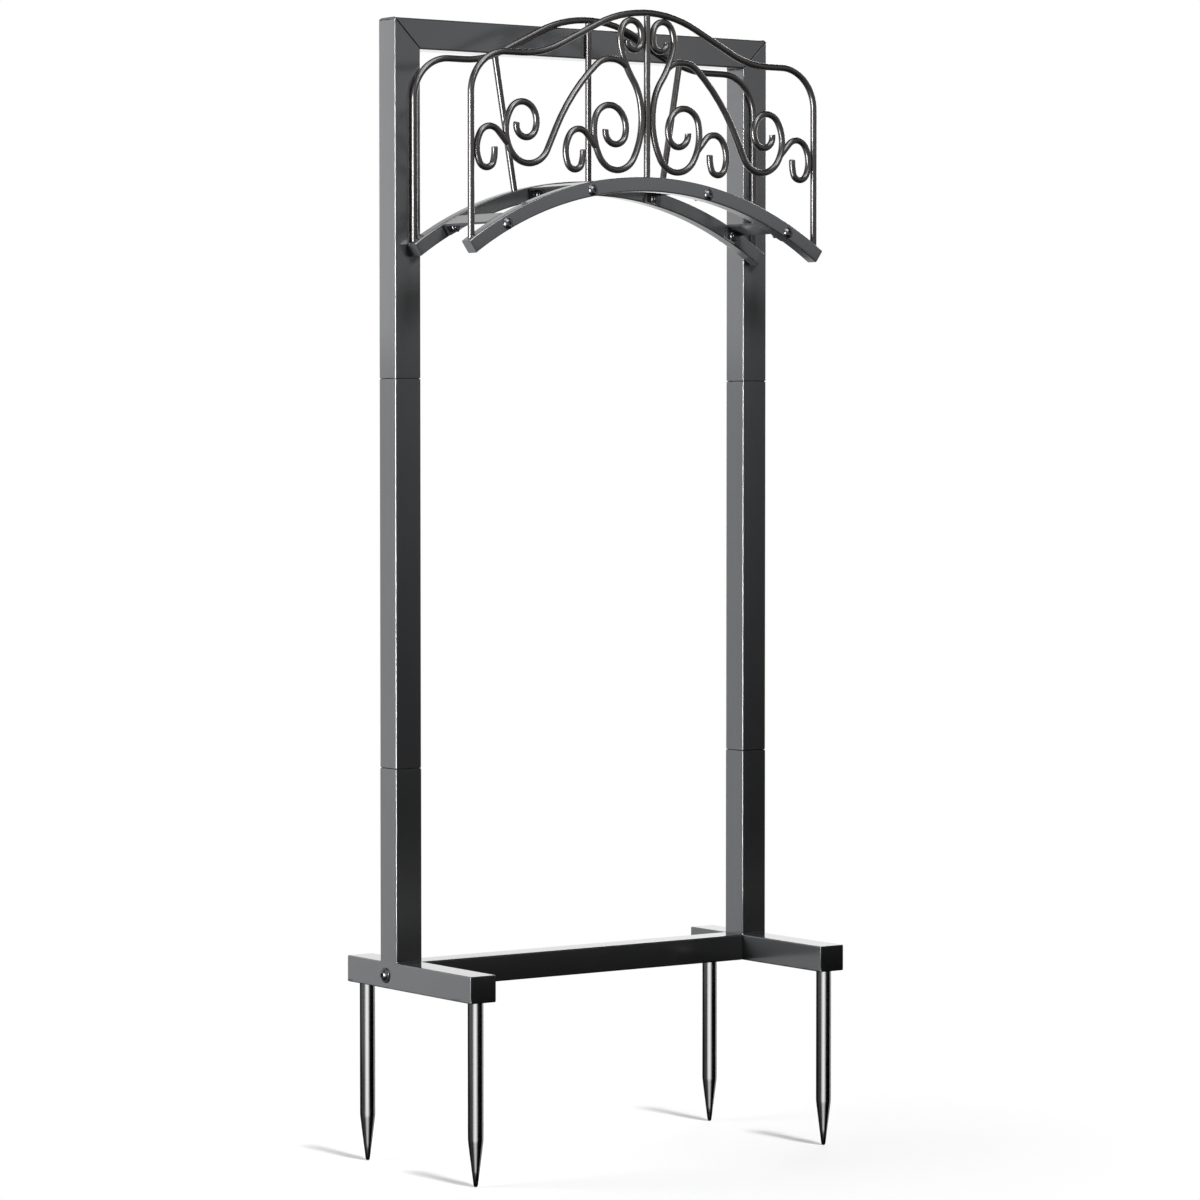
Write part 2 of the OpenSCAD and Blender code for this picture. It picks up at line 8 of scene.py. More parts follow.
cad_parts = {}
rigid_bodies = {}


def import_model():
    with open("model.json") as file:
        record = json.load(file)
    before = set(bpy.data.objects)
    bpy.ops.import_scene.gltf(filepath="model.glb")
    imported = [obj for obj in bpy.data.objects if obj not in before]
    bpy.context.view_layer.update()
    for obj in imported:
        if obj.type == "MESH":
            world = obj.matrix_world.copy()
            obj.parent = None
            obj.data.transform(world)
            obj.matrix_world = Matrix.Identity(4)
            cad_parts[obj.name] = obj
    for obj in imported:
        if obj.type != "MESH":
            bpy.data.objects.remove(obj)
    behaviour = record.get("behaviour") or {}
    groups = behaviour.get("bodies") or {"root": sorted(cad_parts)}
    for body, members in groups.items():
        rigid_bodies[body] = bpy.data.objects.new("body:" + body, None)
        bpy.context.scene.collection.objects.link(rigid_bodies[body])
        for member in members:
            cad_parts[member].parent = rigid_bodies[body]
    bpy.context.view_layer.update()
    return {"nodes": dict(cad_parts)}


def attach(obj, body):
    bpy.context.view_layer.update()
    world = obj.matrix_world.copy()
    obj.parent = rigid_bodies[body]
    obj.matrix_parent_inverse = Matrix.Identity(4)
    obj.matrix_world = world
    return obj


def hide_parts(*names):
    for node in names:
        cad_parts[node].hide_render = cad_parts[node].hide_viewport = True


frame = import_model()


# Feet and lower posts. Each foot is a length of 25 x 22 mm mild steel tube laid front to back, and
# its lower post is welded upright on it and ground flush, so the two read as one piece. All of the
# tube is blasted and powder coated together.

def linear(code):
    """sRGB hex to the linear colour that a node takes"""
    tones = [int(code[i:i + 2], 16) / 255 for i in (1, 3, 5)]
    return [t / 12.92 if t <= 0.04045 else ((t + 0.055) / 1.055) ** 2.4 for t in tones] + [1]


def add(tree, kind, settings, links=None):
    """Adds a node with its settings, which are sockets or properties, and its links"""
    made = tree.nodes.new(kind)
    for name, value in settings.items():
        if isinstance(name, int) or name in made.inputs:
            made.inputs[name].default_value = value
        else:
            setattr(made, name, value)
    for name, source in (links or {}).items():
        tree.links.new(source, made.inputs[name])
    return made


def new_finish(name):
    """A material with an empty node tree"""
    made = bpy.data.materials.new(name)
    made.use_nodes = True
    made.node_tree.nodes.clear()
    return made


# Charcoal polyester powder coat, baked: semi-gloss, with the orange peel of molten powder, which is
# 2 mm from crest to crest, and a slow drift of tone where the coat is thicker.
charcoal_coat = new_finish("charcoal_powder_coat")
tree = charcoal_coat.node_tree
place = add(tree, "ShaderNodeTexCoord", {})
drift = add(tree, "ShaderNodeTexNoise", {"Scale": 1 / 0.045, "Detail": 3.0, "Roughness": 0.55},
            {"Vector": place.outputs["Object"]})
peel = add(tree, "ShaderNodeTexNoise", {"Scale": 1 / 0.002, "Detail": 1.5, "Roughness": 0.5},
           {"Vector": place.outputs["Object"]})
tone = add(tree, "ShaderNodeMix", {"data_type": "RGBA", 6: linear("#4d4e50"), 7: linear("#525355")},
           {"Factor": drift.outputs["Fac"]})
gloss = add(tree, "ShaderNodeMapRange", {"From Min": 0.3, "From Max": 0.7, "To Min": 0.13,
            "To Max": 0.15}, {"Value": drift.outputs["Fac"]})
skin = add(tree, "ShaderNodeBump", {"Strength": 0.25, "Distance": 0.00004},
           {"Height": peel.outputs["Fac"]})
coat = add(tree, "ShaderNodeBsdfPrincipled", {"IOR": 1.5},
           {"Base Color": tone.outputs[2], "Roughness": gloss.outputs["Result"],
            "Normal": skin.outputs["Normal"]})
add(tree, "ShaderNodeOutputMaterial", {}, {"Surface": coat.outputs["BSDF"]})

post_x = 0.179
tube_w = 0.025
tube_r = 0.0015
foot_h = 0.022
foot_front = -0.121
foot_rear = 0.063
lower_joint_z = 0.182
joint_gap = 0.0003
joint_chamfer = 0.0003
neck_wall = 0.0011
weld_r = 0.0012
tolerance = 1e-6


def at(value, level):
    """Whether a coordinate lies at a level"""
    return abs(value - level) < tolerance


def edges_of(bm, test=None, axis=None):
    """The edges whose ends both pass a test, those that run along an axis, or those that do both"""
    chosen = [e for e in bm.edges if test is None or all(test(v.co) for v in e.verts)]
    steps = [e.verts[1].co - e.verts[0].co for e in chosen]
    return [e for e, step in zip(chosen, steps) if axis is None or at(abs(step[axis]), step.length)]


def end_face(bm, axis, end):
    """The face that lies furthest out along an axis, at its high end (1) or its low end (-1)"""
    return max(bm.faces, key=lambda f: end * f.calc_center_median()[axis])


def verts_of(geometry):
    """The vertices among the elements that an operator returns"""
    return [g for g in geometry if isinstance(g, bmesh.types.BMVert)]


def round_off(bm, edges, radius, steps):
    """Rounds edges as a tube mill or a file leaves them"""
    bmesh.ops.bevel(bm, geom=edges, offset=radius, offset_type="OFFSET", segments=steps,
                    profile=0.5, affect="EDGES", clamp_overlap=True, material=-1)


def neck_in(bm, face, gap):
    """Closes half the gap of a joint from inside, so that it shows as a dark line round the tube"""
    bmesh.ops.inset_region(bm, faces=[face], thickness=neck_wall, depth=0.0, use_even_offset=True)
    bmesh.ops.translate(bm, vec=face.normal * gap, verts=face.verts)


def draw_out(bm, outline, x, width):
    """Draws an outline of (y, z) corners out along +X into a solid"""
    profile = bm.faces.new([bm.verts.new((x, y, z)) for y, z in outline])
    wide = bmesh.ops.extrude_face_region(bm, geom=[profile], use_keep_orig=True)
    bmesh.ops.translate(bm, vec=(width, 0, 0), verts=verts_of(wide["geom"]))
    bmesh.ops.recalc_face_normals(bm, faces=bm.faces)


def finish_piece(bm, name, material, nodes):
    """Makes a modelled bmesh the piece that stands for its CAD nodes"""
    crease = math.radians(50)
    bmesh.ops.remove_doubles(bm, verts=bm.verts, dist=tolerance)
    bmesh.ops.recalc_face_normals(bm, faces=bm.faces)
    for face in bm.faces:
        face.smooth = True
    for edge in bm.edges:
        edge.smooth = edge.calc_face_angle(0) < crease
    mesh = bpy.data.meshes.new(name)
    bm.to_mesh(mesh)
    bm.free()
    mesh.materials.append(material)
    piece = bpy.data.objects.new(name, mesh)
    bpy.context.scene.collection.objects.link(piece)
    even = piece.modifiers.new("even_shading", "WEIGHTED_NORMAL")
    even.keep_sharp = True
    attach(piece, "root")
    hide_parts(*nodes)
    return piece


def block(bm, low, high):
    """A box from its lowest to its highest corner"""
    size = Vector(high) - Vector(low)
    return bmesh.ops.create_cube(bm, size=1.0, matrix=Matrix.Translation(Vector(low) + size / 2)
                                 @ Matrix.Diagonal(size.to_4d()))["verts"]


for side, hand in ((-1, "left"), (1, "right")):
    bm = bmesh.new()
    half = tube_w / 2
    top = lower_joint_z - joint_gap
    outline = [(foot_front, 0), (foot_rear, 0), (foot_rear, foot_h), (half, foot_h),
               (half, top), (-half, top), (-half, foot_h), (foot_front, foot_h)]
    draw_out(bm, outline, side * post_x - half, tube_w)
    welds = edges_of(bm, lambda p: at(p.z, foot_h) and at(abs(p.y), half), axis=0)
    round_off(bm, welds, weld_r, 4)
    rim = edges_of(bm, lambda p: at(p.z, top))
    corners = [e for e in bm.edges if e.calc_face_angle_signed(0) > math.radians(60)]
    round_off(bm, [e for e in corners if e not in rim], tube_r, 4)
    round_off(bm, edges_of(bm, lambda p: at(p.z, top)), joint_chamfer, 1)
    neck_in(bm, end_face(bm, 2, 1), joint_gap)
    finish_piece(bm, hand + "_foot_and_lower_post", charcoal_coat,
                 [hand + "_foot", hand + "_foot_end_plates", hand + "_lower_post"])


# Cross bar. One length of the same 25 x 22 mm tube, cut square and drawn up between the feet by a
# screw from each side, so that a fine line shows where its ends meet them.

bm = bmesh.new()
bar_end = post_x - tube_w / 2 - joint_gap
block(bm, (-bar_end, -tube_w / 2, 0), (bar_end, tube_w / 2, foot_h))
round_off(bm, edges_of(bm, axis=0), tube_r, 4)
for end in (-1, 1):
    round_off(bm, edges_of(bm, lambda p: at(end * p.x, bar_end)), joint_chamfer, 1)
    neck_in(bm, end_face(bm, 0, end), joint_gap)
finish_piece(bm, "cross_bar_tube", charcoal_coat, ["cross_bar"])


# Middle posts and head frame. The middle posts slip over sleeves, and so do the upper posts, which
# are mitred and welded to the top rail. The joints and the mitres are left as fine dark lines.

upper_joint_z = 0.502
rail_top_z = 0.796
mitre_gap = 0.0005

for side, hand in ((-1, "left"), (1, "right")):
    bm = bmesh.new()
    x = side * post_x
    low, high = lower_joint_z + joint_gap, upper_joint_z - joint_gap
    block(bm, (x - tube_w / 2, -tube_w / 2, low), (x + tube_w / 2, tube_w / 2, high))
    round_off(bm, edges_of(bm, axis=2), tube_r, 4)
    for end, level in ((-1, low), (1, high)):
        round_off(bm, edges_of(bm, lambda p: at(p.z, level)), joint_chamfer, 1)
        neck_in(bm, end_face(bm, 2, end), joint_gap)
    finish_piece(bm, hand + "_middle_tube", charcoal_coat, [hand + "_middle_post"])

    bm = bmesh.new()
    low, high = upper_joint_z + joint_gap, rail_top_z - mitre_gap
    corners = block(bm, (x - tube_w / 2, -tube_w / 2, low), (x + tube_w / 2, tube_w / 2, high))
    for corner in corners:
        if at(corner.co.z, high) and side * corner.co.x < post_x:
            corner.co.z -= tube_w
    round_off(bm, edges_of(bm, axis=2), tube_r, 4)
    round_off(bm, list(end_face(bm, 2, 1).edges), joint_chamfer, 1)
    neck_in(bm, end_face(bm, 2, 1), mitre_gap)
    round_off(bm, edges_of(bm, lambda p: at(p.z, low)), joint_chamfer, 1)
    neck_in(bm, end_face(bm, 2, -1), joint_gap)
    finish_piece(bm, hand + "_upper_tube", charcoal_coat, [hand + "_upper_post"])

bm = bmesh.new()
reach = post_x + tube_w / 2 - mitre_gap
corners = block(bm, (-reach, -tube_w / 2, rail_top_z - tube_w), (reach, tube_w / 2, rail_top_z))
for corner in corners:
    if at(corner.co.z, rail_top_z - tube_w):
        corner.co.x -= math.copysign(tube_w, corner.co.x)
round_off(bm, edges_of(bm, axis=0), tube_r, 4)
for end in (-1, 1):
    round_off(bm, list(end_face(bm, 0, end).edges), joint_chamfer, 1)
    neck_in(bm, end_face(bm, 0, end), mitre_gap)
finish_piece(bm, "top_rail_tube", charcoal_coat, ["top_rail"])


# Saddle arches. Two lengths of 12 mm square tube rolled to a radius of 317 mm; the rear one is
# welded across the posts, and the front one is carried by the straps. Their ends are plated shut.

arch_r = 0.317
arch_w = 0.012
arch_corner = 0.0012
arch_end_edge = 0.0004
arch_over = 0.0015
arch_top_z = 0.668
arch_z = arch_top_z - arch_r
arch_end = math.asin((post_x + arch_over) / arch_r)
rear_arch_y = -0.0125
front_arch_y = -0.0925

for name, back in (("rear", rear_arch_y), ("front", front_arch_y)):
    bm = bmesh.new()
    start = bmesh.ops.create_grid(bm, x_segments=1, y_segments=1, size=arch_w / 2,
                                  matrix=Matrix.Translation((0, back - arch_w / 2,
                                  arch_top_z - arch_w / 2)) @ Matrix.Rotation(math.pi / 2, 4, "Y"))
    bmesh.ops.bevel(bm, geom=start["verts"], offset=arch_corner, segments=4, profile=0.5,
                    affect="VERTICES", material=-1)
    bmesh.ops.rotate(bm, cent=(0, 0, arch_z), verts=bm.verts,
                     matrix=Matrix.Rotation(-arch_end, 3, "Y"))
    bmesh.ops.spin(bm, geom=list(bm.faces) + list(bm.edges), cent=(0, 0, arch_z), axis=(0, 1, 0),
                   angle=2 * arch_end, steps=72, use_merge=False)
    bmesh.ops.recalc_face_normals(bm, faces=bm.faces)
    just_inside = arch_end - math.radians(0.01)
    cuts = edges_of(bm, lambda p: abs(math.atan2(p.x, p.z - arch_z)) > just_inside)
    rims = [e for e in cuts if e.calc_face_angle(0) > math.radians(80)]
    round_off(bm, rims, arch_end_edge, 2)
    finish_piece(bm, name + "_arch_tube", charcoal_coat,
                 [name + "_arch", "arch_end_plates"])


# Straps across the saddle. Four strips of 16 x 2 mm steel with both ends bent down into tabs, which
# are screwed to the inner faces of the arches; they carry the front arch and the load.

strap_w = 0.016
strap_t = 0.002
strap_sink = 0.0005
strap_bend_r = 0.0004
tab_h = 0.011
tab_corner_r = 0.0025
saddle_rear = rear_arch_y - arch_w
strap_places = (("left_outer", -27.5), ("left_inner", -11), ("right_inner", 11),
                ("right_outer", 27.5))

for name, angle in strap_places:
    bm = bmesh.new()
    front, rear = front_arch_y, saddle_rear
    top = arch_r - strap_sink
    under, foot = top - strap_t, top - tab_h
    outline = [(front, foot), (front + strap_t, foot), (front + strap_t, under),
               (rear - strap_t, under), (rear - strap_t, foot), (rear, foot), (rear, top),
               (front, top)]
    draw_out(bm, outline, -strap_w / 2, strap_w)
    round_off(bm, edges_of(bm, lambda p: at(p.z, top), axis=0), strap_bend_r + strap_t, 5)
    round_off(bm, edges_of(bm, lambda p: at(p.z, under), axis=0), strap_bend_r, 3)
    round_off(bm, edges_of(bm, lambda p: at(p.z, foot), axis=1), tab_corner_r, 4)
    bmesh.ops.transform(bm, verts=bm.verts, matrix=Matrix.Translation((0, 0, arch_z))
                        @ Matrix.Rotation(math.radians(angle), 4, "Y"))
    finish_piece(bm, name + "_strip", charcoal_coat, [name + "_strap"])


# Panels. Every hoop and scroll is one 5.5 mm steel rod bent cold round pegs, so each is a list of
# bends: the radius of the rod's middle and the angle, left turns positive, or a straight and 0.

# Gunmetal powder coat over bent rod: thinner than on the tube, satin, with metal flake, so that its
# highlights are soft and bright. Its orange peel is 1.6 mm from crest to crest.
gunmetal_coat = new_finish("gunmetal_powder_coat")
tree = gunmetal_coat.node_tree
place = add(tree, "ShaderNodeTexCoord", {})
drift = add(tree, "ShaderNodeTexNoise", {"Scale": 1 / 0.02, "Detail": 3.0, "Roughness": 0.6},
            {"Vector": place.outputs["Object"]})
peel = add(tree, "ShaderNodeTexNoise", {"Scale": 1 / 0.0016, "Detail": 1.5, "Roughness": 0.5},
           {"Vector": place.outputs["Object"]})
tone = add(tree, "ShaderNodeMix", {"data_type": "RGBA", 6: linear("#302e2e"), 7: linear("#3a3837")},
           {"Factor": drift.outputs["Fac"]})
gloss = add(tree, "ShaderNodeMapRange", {"From Min": 0.3, "From Max": 0.7, "To Min": 0.24,
            "To Max": 0.28}, {"Value": drift.outputs["Fac"]})
skin = add(tree, "ShaderNodeBump", {"Strength": 0.1, "Distance": 0.00003},
           {"Height": peel.outputs["Fac"]})
coat = add(tree, "ShaderNodeBsdfPrincipled", {"IOR": 1.5, "Metallic": 0.35},
           {"Base Color": tone.outputs[2], "Roughness": gloss.outputs["Result"],
            "Normal": skin.outputs["Normal"]})
add(tree, "ShaderNodeOutputMaterial", {}, {"Surface": coat.outputs["BSDF"]})

rod_r = 0.00275
weld_gap = 0.00005
touch = 2 * rod_r + weld_gap
filed_r = 0.0008
bend_step = 4


def turned(pose, bend):
    """The pose (x, z, heading) at the end of a bend, and the bend's centre"""
    x, z, heading = pose
    size, angle = bend
    h = math.radians(heading)
    if angle == 0:
        return (x + size * math.cos(h), z + size * math.sin(h), heading), None
    hand = math.copysign(1, angle)
    cx, cz = x - hand * size * math.sin(h), z + hand * size * math.cos(h)
    end = math.radians(heading + angle)
    return (cx + hand * size * math.sin(end), cz - hand * size * math.cos(end),
            heading + angle), (cx, cz)


def walk(pose, bends):
    """The pose after a list of bends"""
    for bend in bends:
        pose = turned(pose, bend)[0]
    return pose


def bend_rod(bm, pose, bends, depth, mirrored=False):
    """Bends a rod that starts at a pose in the panel's plane, and files its two cut ends"""
    x, z, heading = pose
    ring = bmesh.ops.create_circle(bm, segments=20, radius=rod_r, cap_ends=True,
                                   matrix=Matrix.Translation((x, depth, z))
                                   @ Matrix.Rotation(-math.radians(heading), 4, "Y")
                                   @ Matrix.Rotation(math.pi / 2, 4, "Y"))["verts"]
    first = ring[0].link_faces[0]
    loop = list(first.edges)
    for bend in bends:
        end, centre = turned(pose, bend)
        if centre:
            grown = bmesh.ops.spin(bm, geom=loop, cent=(centre[0], depth, centre[1]),
                                   axis=(0, -1, 0), angle=math.radians(bend[1]),
                                   steps=max(3, math.ceil(abs(bend[1]) / bend_step)))
            loop = [g for g in grown["geom_last"] if isinstance(g, bmesh.types.BMEdge)]
        else:
            grown = bmesh.ops.extrude_edge_only(bm, edges=loop)["geom"]
            ends = verts_of(grown)
            bmesh.ops.translate(bm, vec=(end[0] - pose[0], 0, end[1] - pose[1]), verts=ends)
            loop = [g for g in grown if isinstance(g, bmesh.types.BMEdge)
                    and all(v in ends for v in g.verts)]
        pose = end
    last = bmesh.ops.contextual_create(bm, geom=loop)["faces"][0]
    round_off(bm, list(first.edges) + list(last.edges), filed_r, 3)
    if mirrored:
        bmesh.ops.scale(bm, vec=(-1, 1, 1), verts=bm.verts)


# Hoops and centre rods. A hoop rises from the arch, goes over a shoulder, down a hollow and up over
# the crown, and comes back the same way. A straight rod stands under its crown, and the feet of
# both reach into the arch, where they are welded.

front_rod_y = -0.0985
rear_rod_y = -0.01525
rod_root = 0.003
scroll_touch_z = arch_top_z + 0.0475
main_up = [(0.071, 13.4), (0.044, 22), (0.0786, -22), (0.024, -39), (0.010, -136), (0.020, -36),
           (0.007, -170)]
main_down = [(0.0685, -28), (0.0195, -120), (0.0425, -45), (0.015, -121), (0.020, -65),
             (0.010, -134), (0.011, -34)]
top_spiral = turned(walk((-touch, scroll_touch_z, 90), main_up[:4]), main_up[4])[1]
hoop_x = 0.175
corner_r, valley_r, crown_r = 0.034, 0.085, 0.115
slope, rise = 26, 0.0385
# The crown lies on the two top spirals, which sets its height.
crown_centre_z = top_spiral[1] - math.sqrt((crown_r - main_up[4][0] - touch) ** 2
                                           - top_spiral[0] ** 2)
crown_z = crown_centre_z + crown_r
shoulder_z = crown_z - rise
slant = math.radians(slope)
ramp = (rise - (crown_r + valley_r) * (1 - math.cos(slant))) / math.sin(slant)
flat = hoop_x - corner_r - (crown_r + valley_r) * math.sin(slant) - ramp * math.cos(slant)
hoop_foot_z = arch_z + math.sqrt(arch_r ** 2 - hoop_x ** 2) - rod_root
half_hoop = [(shoulder_z - corner_r - hoop_foot_z, 0), (corner_r, -90), (flat, 0),
             (valley_r, slope), (ramp, 0)]
hoop_bends = half_hoop + [(crown_r, -2 * slope)] + half_hoop[::-1]

centre_foot_z = arch_top_z - rod_root
centre_rod_top_z = crown_z - 0.002

for name, depth in (("front", front_rod_y), ("rear", rear_rod_y)):
    bm = bmesh.new()
    bend_rod(bm, (-hoop_x, hoop_foot_z, 90), hoop_bends, depth)
    finish_piece(bm, name + "_bent_hoop", gunmetal_coat, [name + "_hoop"])
    bm = bmesh.new()
    bend_rod(bm, (0, centre_foot_z, 90), [(centre_rod_top_z - centre_foot_z, 0)], depth)
    finish_piece(bm, name + "_straight_rod", gunmetal_coat, [name + "_centre_rod"])


# Scrolls. The main scroll leans on the centre rod with its large loop and ends in a spiral above
# and below. The side scroll springs from it and each of them bears a curl, all welded where they
# touch.

def branch(pose, bends, place):
    """The pose on a rod's middle, part of the way along a bend, leaning away from it"""
    index, part, lean = place
    x, z, heading = turned(walk(pose, bends[:index]), (bends[index][0], -part))[0]
    return x, z, heading + lean


main_start_up = (-touch, scroll_touch_z, 90)
main_start_down = (-touch, scroll_touch_z, -90)
curl = [(0.014, 0), (0.011, 107), (0.025, 56), (0.0075, 107), (0.005, 28), (0.031, 24)]
side_start = branch(main_start_up, main_up, (2, 9, 20))
side_rise = (0.021, 43)
side_fall = [(0.021, 42), (0.170, 23), (0.019, 0), (0.0205, -121), (0.0315, -65),
             (0.0135, -118), (0.0175, -57), (0.0095, -167)]
fall_start = turned(side_start, side_rise)[0]
near_curl = branch(fall_start, side_fall, (4, 12, 22))
flank = turned(walk(near_curl, curl[:2]), curl[2])[1]
# The side scroll's straight is as long as brings the outer curl up to the hoop.
side_flat = flank[0] - curl[2][0] + hoop_x - touch
side_bends = [side_rise, (side_flat, 0)] + side_fall
outer_start = (near_curl[0] - side_flat, near_curl[1], near_curl[2])
inner_start = branch(main_start_down, main_down, (2, 13, 22))

for hand, mirrored in (("left", False), ("right", True)):
    bm = bmesh.new()
    x, z, heading = walk(main_start_down, main_down)
    back = [(size, -angle) for size, angle in main_down[::-1]]
    bend_rod(bm, (x, z, heading + 180), back + main_up, front_rod_y, mirrored)
    finish_piece(bm, hand + "_large_scroll", gunmetal_coat, [hand + "_main_scroll"])
    for name, node, start, bends in (("branching_scroll", "side_scroll", side_start, side_bends),
                                     ("outer_hook", "outer_curl", outer_start, curl),
                                     ("inner_hook", "inner_curl", inner_start, curl)):
        bm = bmesh.new()
        bend_rod(bm, start, bends, front_rod_y, mirrored)
        finish_piece(bm, hand + "_" + name, gunmetal_coat, [hand + "_" + node])


# Rear braces. Two straight lengths of the same rod lean inward from the hollows of the rear hoop
# down to the rear arch, and are welded at both ends.

valley_x = hoop_x - corner_r - flat
brace_inset = 0.030
brace_top_x = valley_x - brace_inset
brace_top_z = shoulder_z + valley_r - math.sqrt(valley_r ** 2 - brace_inset ** 2)
brace_foot_x = 0.075
brace_foot_z = arch_z + math.sqrt(arch_r ** 2 - brace_foot_x ** 2) - rod_root
brace_heading = math.degrees(math.atan2(brace_top_z - brace_foot_z, brace_foot_x - brace_top_x))
brace_l = math.hypot(brace_top_x - brace_foot_x, brace_top_z - brace_foot_z)

for hand, mirrored in (("left", False), ("right", True)):
    bm = bmesh.new()
    bend_rod(bm, (-brace_foot_x, brace_foot_z, brace_heading), [(brace_l, 0)], rear_rod_y,
             mirrored)
    finish_piece(bm, hand + "_leaning_rod", gunmetal_coat, [hand + "_rear_brace"])


# Ground spikes. Half-inch round bar turned to a blunt point at the lower end and to a stud at the
# upper end, which screws up into the foot.

# Gloss black enamel over turned bar: the bar's roundness shows as one white streak.
black_enamel = new_finish("gloss_black_enamel")
tree = black_enamel.node_tree
place = add(tree, "ShaderNodeTexCoord", {})
drift = add(tree, "ShaderNodeTexNoise", {"Scale": 1 / 0.03, "Detail": 2.0, "Roughness": 0.5},
            {"Vector": place.outputs["Object"]})
tone = add(tree, "ShaderNodeMix", {"data_type": "RGBA", 6: linear("#0d0e0e"), 7: linear("#151616")},
           {"Factor": drift.outputs["Fac"]})
gloss = add(tree, "ShaderNodeMapRange", {"From Min": 0.3, "From Max": 0.7, "To Min": 0.16,
            "To Max": 0.22}, {"Value": drift.outputs["Fac"]})
coat = add(tree, "ShaderNodeBsdfPrincipled", {"IOR": 1.5},
           {"Base Color": tone.outputs[2], "Roughness": gloss.outputs["Result"]})
add(tree, "ShaderNodeOutputMaterial", {}, {"Surface": coat.outputs["BSDF"]})

spike_r = 0.00635
spike_l = 0.150
taper_l = 0.038
tip_r = 0.0018
stud_r = 0.005
stud_h = 0.0105
spike_inset = 0.0115
front_spike_y = foot_front + spike_inset
rear_spike_y = foot_rear - spike_inset
spike_places = (("front_left", -post_x, front_spike_y), ("front_right", post_x, front_spike_y),
                ("rear_left", -post_x, rear_spike_y), ("rear_right", post_x, rear_spike_y))

for name, x, y in spike_places:
    bm = bmesh.new()
    tip_z, taper_z = -spike_l, taper_l - spike_l
    points = [(0, tip_z), (tip_r * 0.5, tip_z + 0.0002), (tip_r * 0.85, tip_z + 0.0008),
              (tip_r, tip_z + 0.0017), (spike_r - 0.00025, taper_z - 0.0018),
              (spike_r, taper_z + 0.001), (spike_r, -0.0006), (spike_r - 0.0005, 0),
              (stud_r, 0), (stud_r, stud_h), (0, stud_h)]
    side_line = [bm.verts.new((x + r, y, z)) for r, z in points]
    line = [bm.edges.new(pair) for pair in zip(side_line, side_line[1:])]
    bmesh.ops.spin(bm, geom=line + side_line, cent=(x, y, 0), axis=(0, 0, 1), angle=math.tau,
                   steps=64, use_merge=True)
    finish_piece(bm, name + "_ground_spike", black_enamel, [name + "_spike"])


# Screws, washers and nuts. Button-head screws with a hexagon socket, cold headed and zinc plated:
# M5 screws with nuts through the arches, and M6 screws with washers through the feet.

# Dark passivated zinc plate on steel: dull and a little uneven. Its grain is drawn 1.2 mm wide,
# coarser than it is, so that it shows.
dark_zinc = new_finish("dark_zinc_plated_steel")
tree = dark_zinc.node_tree
place = add(tree, "ShaderNodeTexCoord", {})
grain = add(tree, "ShaderNodeTexNoise", {"Scale": 1 / 0.0012, "Detail": 2.0, "Roughness": 0.6},
            {"Vector": place.outputs["Object"]})
tone = add(tree, "ShaderNodeMix", {"data_type": "RGBA", 6: linear("#424244"), 7: linear("#525255")},
           {"Factor": grain.outputs["Fac"]})
gloss = add(tree, "ShaderNodeMapRange", {"From Min": 0.3, "From Max": 0.7, "To Min": 0.24,
            "To Max": 0.32}, {"Value": grain.outputs["Fac"]})
metal = add(tree, "ShaderNodeBsdfPrincipled", {"Metallic": 0.9},
            {"Base Color": tone.outputs[2], "Roughness": gloss.outputs["Result"]})
add(tree, "ShaderNodeOutputMaterial", {}, {"Surface": metal.outputs["BSDF"]})


def ring_of(bm, radius, level, count=48):
    """The edges of a flat ring, drawn about +Z"""
    verts = bmesh.ops.create_circle(bm, segments=count, radius=radius,
                                    matrix=Matrix.Translation((0, 0, level)))["verts"]
    return list({e for v in verts for e in v.link_edges})


def bridge(bm, rings):
    """Draws a wall from each ring to the next"""
    for one, other in zip(rings, rings[1:]):
        bmesh.ops.bridge_loops(bm, edges=one + other)


def screw(shank_r, shank_l, head_r, head_h):
    """A flanged button-head screw: its shank runs along +Z from its seat, its head lies below"""
    part = bmesh.new()
    flange_t = 0.0005
    edge = 0.0001
    point_l = 0.0008
    dome_foot_r = head_r * 0.84
    socket_r = head_r * 0.4
    socket_floor = -head_h * 0.35
    mouth_r = socket_r * 1.16
    dome_h = head_h - flange_t
    dome_r = (dome_h ** 2 + dome_foot_r ** 2) / (2 * dome_h)
    rings = [ring_of(part, shank_r * 0.8, shank_l), ring_of(part, shank_r, shank_l - point_l),
             ring_of(part, shank_r, 0), ring_of(part, head_r - edge, 0),
             ring_of(part, head_r, -edge), ring_of(part, head_r, edge - flange_t),
             ring_of(part, head_r - edge, -flange_t)]
    for radius in [dome_foot_r * share for share in (1.0, 0.96, 0.9, 0.82, 0.72, 0.62)] + [mouth_r]:
        level = dome_r - head_h - math.sqrt(dome_r ** 2 - radius ** 2)
        rings.append(ring_of(part, radius, level))
    bridge(part, rings)
    for depth in (level + edge, socket_floor):
        rings.append(ring_of(part, socket_r, depth, 6))
    bridge(part, rings[-3:])
    bmesh.ops.contextual_create(part, geom=rings[-1])
    bmesh.ops.contextual_create(part, geom=rings[0])
    return part


def washer(bore_r, rim_r, thick):
    """A plain washer that sits on its seat and rises along +Z"""
    part = bmesh.new()
    edge = 0.0002
    rings = [ring_of(part, radius, level) for radius, level in (
        (bore_r, 0), (rim_r - edge, 0), (rim_r, edge), (rim_r, thick - edge),
        (rim_r - edge, thick), (bore_r, thick))]
    bridge(part, rings + rings[:1])
    return part


